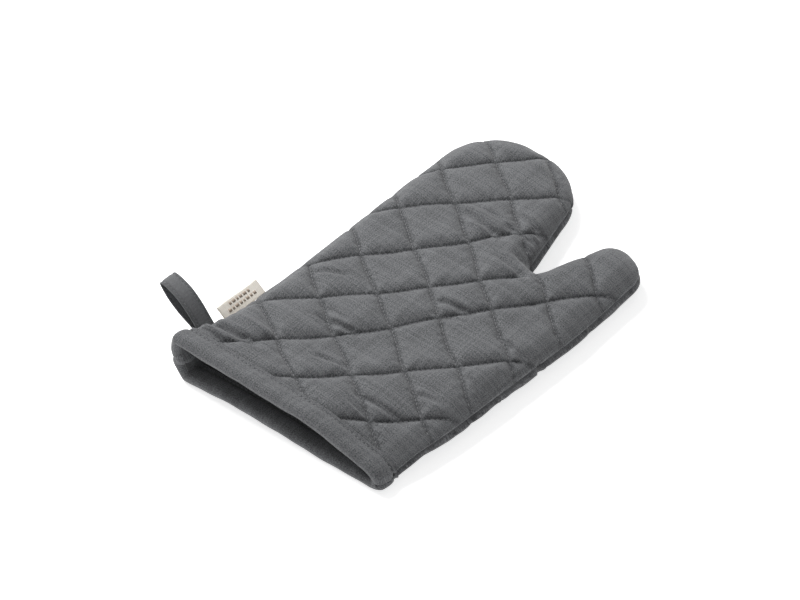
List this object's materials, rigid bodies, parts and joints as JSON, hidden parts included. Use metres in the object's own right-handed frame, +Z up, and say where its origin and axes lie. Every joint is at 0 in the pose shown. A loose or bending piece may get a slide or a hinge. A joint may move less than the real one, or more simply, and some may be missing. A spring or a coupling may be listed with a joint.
{
  "type": "oven mitt",
  "caption": "Quilted grey oven mitt lying palm side up, with a thumb, a bound cuff, a hanging loop and a folded side label; it bends at the fingers and thumb.",
  "frame": {"origin": "on the flat underside, midway between cuff and fingertips and midway between the straight side's cuff corner and the thumb's outer side", "axes": "+X across the mitt towards the thumb, +Y from the cuff to the fingertips, +Z up out of the palm"},
  "size_m": [0.215, 0.3, 0.0342],
  "materials": {
    "outer_canvas": "dark grey, finely woven matt cotton canvas",
    "batting": "soft off-white wadding",
    "lining_cotton": "plain dark grey woven cotton",
    "sewing_thread": "grey polyester thread in the fabric's colour",
    "binding_twill": "the outer fabric's strip, folded over the edge",
    "strap_twill": "the outer fabric, folded to a narrow strap",
    "label_cotton": "cream cotton tape",
    "label_print": "dark matt print"
  },
  "bodies": {
    "hand": {"palm_outer_hand": "outer_canvas", "palm_batting_hand": "batting", "palm_lining_hand": "lining_cotton", "palm_quilting_thread_hand": "sewing_thread", "back_outer_hand": "outer_canvas", "back_batting_hand": "batting", "back_lining_hand": "lining_cotton", "back_quilting_thread_hand": "sewing_thread", "side_seam_thread_hand": "sewing_thread", "overlock_thread_hand": "sewing_thread", "cuff_binding": "binding_twill", "cuff_stitch_thread": "sewing_thread", "loop_sewn_end": "strap_twill", "label_sewn_end": "label_cotton"},
    "fingers": {"palm_outer_fingers": "outer_canvas", "palm_batting_fingers": "batting", "palm_lining_fingers": "lining_cotton", "palm_quilting_thread_fingers": "sewing_thread", "back_outer_fingers": "outer_canvas", "back_batting_fingers": "batting", "back_lining_fingers": "lining_cotton", "back_quilting_thread_fingers": "sewing_thread", "side_seam_thread_fingers": "sewing_thread", "overlock_thread_fingers": "sewing_thread"},
    "thumb": {"palm_outer_thumb": "outer_canvas", "palm_batting_thumb": "batting", "palm_lining_thumb": "lining_cotton", "palm_quilting_thread_thumb": "sewing_thread", "back_outer_thumb": "outer_canvas", "back_batting_thumb": "batting", "back_lining_thumb": "lining_cotton", "back_quilting_thread_thumb": "sewing_thread", "side_seam_thread_thumb": "sewing_thread", "overlock_thread_thumb": "sewing_thread"},
    "loop": {"hanging_loop": "strap_twill", "loop_edge_stitch": "sewing_thread"},
    "label": {"woven_label": "label_cotton", "label_marks": "label_print"}
  },
  "joints": [
    {"name": "finger_fold", "type": "hinge", "parent": "hand", "child": "fingers", "pos_m": [0, 0.06, 0.0262], "axis": [1, 0, 0], "range_deg": [0, 80], "stiffness_Nm_per_rad": 0.03},
    {"name": "thumb_fold", "type": "hinge", "parent": "hand", "child": "thumb", "pos_m": [0.03887, 0.06, 0.0262], "axis": [0.6559, -0.7549, 0], "range_deg": [0, 65], "stiffness_Nm_per_rad": 0.015},
    {"name": "loop_swing", "type": "hinge", "parent": "hand", "child": "loop", "pos_m": [-0.09142, -0.11597, 0.012], "axis": [0.0317, 0.9995, 0], "range_deg": [-45, 45], "stiffness_Nm_per_rad": 0.0027},
    {"name": "label_flap", "type": "hinge", "parent": "hand", "child": "label", "pos_m": [-0.09038, -0.08299, 0.012], "axis": [0.0317, 0.9995, 0], "range_deg": [-75, 48], "stiffness_Nm_per_rad": 0.0008}
  ]
}
